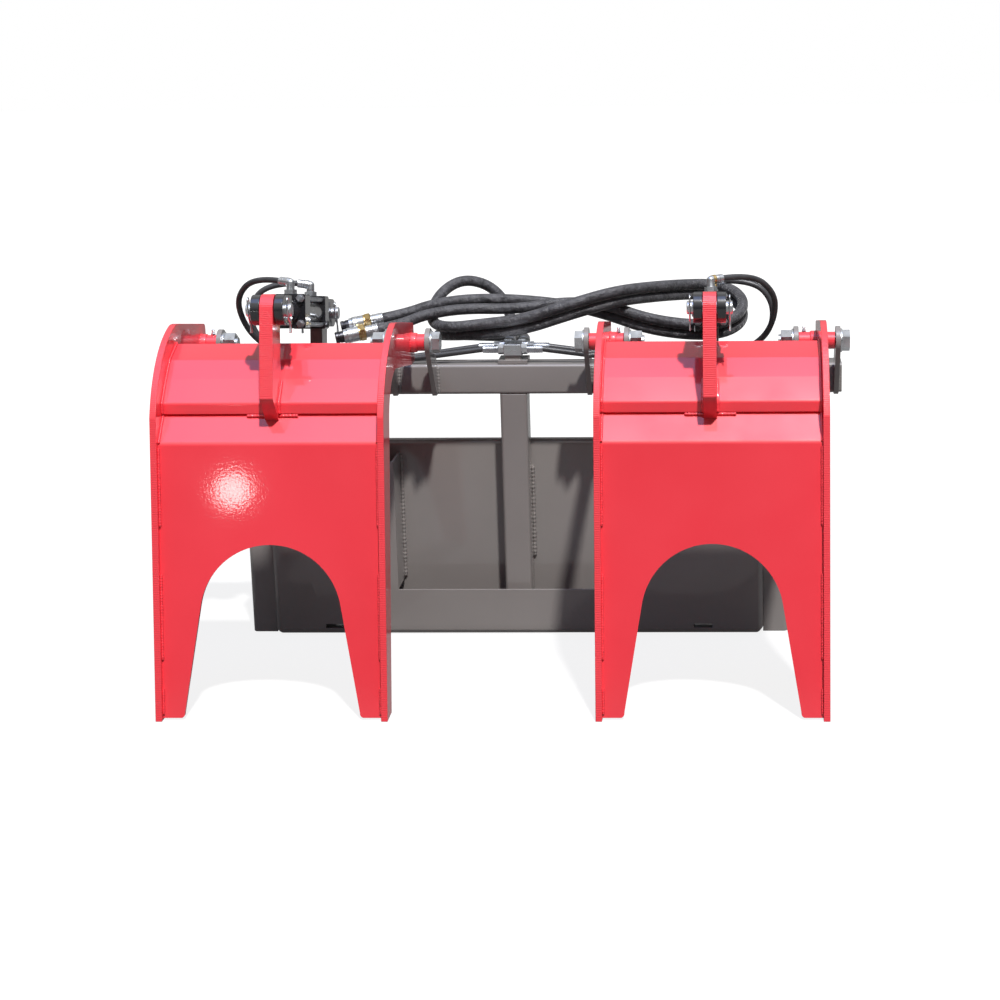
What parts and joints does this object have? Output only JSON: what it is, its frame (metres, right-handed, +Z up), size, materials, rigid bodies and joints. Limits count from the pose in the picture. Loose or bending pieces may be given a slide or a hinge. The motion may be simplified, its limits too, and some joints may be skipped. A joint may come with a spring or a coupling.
{
  "type": "skid steer grapple",
  "caption": "Grapple attachment with independent arched jaws, each hinged on a top tube and moved by its own hydraulic cylinder, on a quick-attach plate.",
  "frame": {"origin": "on the rear face plane of the coupler plate, on the centre line, at ground level", "axes": "+X across the machine, to the right in the front view; -Y is the front, towards the jaw tips; +Z up"},
  "size_m": [1.394, 0.8216, 0.795],
  "materials": {
    "jaw_paint": "high gloss red powder coat",
    "frame_paint": "high gloss dark grey powder coat",
    "cylinder_paint": "gloss black",
    "zinc_plate": "zinc plated",
    "rod_chrome": "polished",
    "coupler_steel": "zinc plated",
    "hose_rubber": "satin",
    "hose_sleeve": "woven nylon sleeve"
  },
  "bodies": {
    "frame": {"coupler_plate": "frame_paint", "coupler_gussets": "frame_paint", "front_panel": "frame_paint", "end_wings": "frame_paint", "centre_post": "frame_paint", "side_posts": "frame_paint", "top_tube": "frame_paint", "tube_end_caps": "frame_paint", "hinge_ears": "frame_paint", "hinge_bolts": "zinc_plate", "hinge_nuts": "zinc_plate", "hinge_washers": "zinc_plate", "cylinder_brackets": "frame_paint", "base_pins": "zinc_plate", "manifold_stand": "frame_paint", "manifold_block": "zinc_plate", "manifold_fittings": "zinc_plate", "left_front_hose": "hose_rubber", "left_rear_hose": "hose_rubber", "right_front_hose": "hose_rubber", "right_rear_hose": "hose_rubber", "supply_hose_front": "hose_sleeve", "supply_hose_rear": "hose_sleeve", "coupler_front": "coupler_steel", "coupler_rear": "coupler_steel"},
    "left_jaw": {"left_outer_rib": "jaw_paint", "left_inner_rib": "jaw_paint", "left_upper_plate": "jaw_paint", "left_lower_plate": "jaw_paint", "left_lug": "jaw_paint", "left_bushings": "jaw_paint"},
    "left_barrel": {"left_base_cap": "cylinder_paint", "left_barrel": "cylinder_paint", "left_gland": "cylinder_paint", "left_tie_rods": "zinc_plate", "left_ports": "zinc_plate"},
    "left_rod": {"left_rod": "rod_chrome", "left_piston": "cylinder_paint", "left_rod_clevis": "cylinder_paint", "left_rod_pin": "zinc_plate"},
    "right_jaw": {"right_outer_rib": "jaw_paint", "right_inner_rib": "jaw_paint", "right_upper_plate": "jaw_paint", "right_lower_plate": "jaw_paint", "right_lug": "jaw_paint", "right_bushings": "jaw_paint"},
    "right_barrel": {"right_base_cap": "cylinder_paint", "right_barrel": "cylinder_paint", "right_gland": "cylinder_paint", "right_tie_rods": "zinc_plate", "right_ports": "zinc_plate"},
    "right_rod": {"right_rod": "rod_chrome", "right_piston": "cylinder_paint", "right_rod_clevis": "cylinder_paint", "right_rod_pin": "zinc_plate"}
  },
  "joints": [
    {"name": "left_jaw_hinge", "type": "hinge", "parent": "frame", "child": "left_jaw", "pos_m": [-0.4176, -0.148, 0.644], "axis": [-1, 0, 0], "range_deg": [0, 50]},
    {"name": "left_barrel_hinge", "type": "hinge", "parent": "frame", "child": "left_barrel", "pos_m": [-0.417, 0.0095, 0.679], "axis": [-1, 0, 0], "range_deg": [0, 36], "deforming": ["left_front_hose", "left_rear_hose"]},
    {"name": "left_rod_slide", "type": "slide", "parent": "left_barrel", "child": "left_rod", "axis": [0, -0.983, 0.1836], "range_m": [-0.0915, 0]},
    {"name": "right_jaw_hinge", "type": "hinge", "parent": "frame", "child": "right_jaw", "pos_m": [0.4176, -0.148, 0.644], "axis": [-1, 0, 0], "range_deg": [0, 50]},
    {"name": "right_barrel_hinge", "type": "hinge", "parent": "frame", "child": "right_barrel", "pos_m": [0.417, 0.0095, 0.679], "axis": [-1, 0, 0], "range_deg": [0, 36], "deforming": ["right_front_hose", "right_rear_hose"]},
    {"name": "right_rod_slide", "type": "slide", "parent": "right_barrel", "child": "right_rod", "axis": [0, -0.983, 0.1836], "range_m": [-0.0915, 0]}
  ],
  "couplings": [
    {"joint": "left_barrel_hinge", "follows": "left_jaw_hinge", "ratio": 0.7171},
    {"joint": "left_rod_slide", "follows": "left_jaw_hinge", "m_per_rad": -0.10339},
    {"joint": "right_barrel_hinge", "follows": "right_jaw_hinge", "ratio": 0.7171},
    {"joint": "right_rod_slide", "follows": "right_jaw_hinge", "m_per_rad": -0.10339}
  ]
}
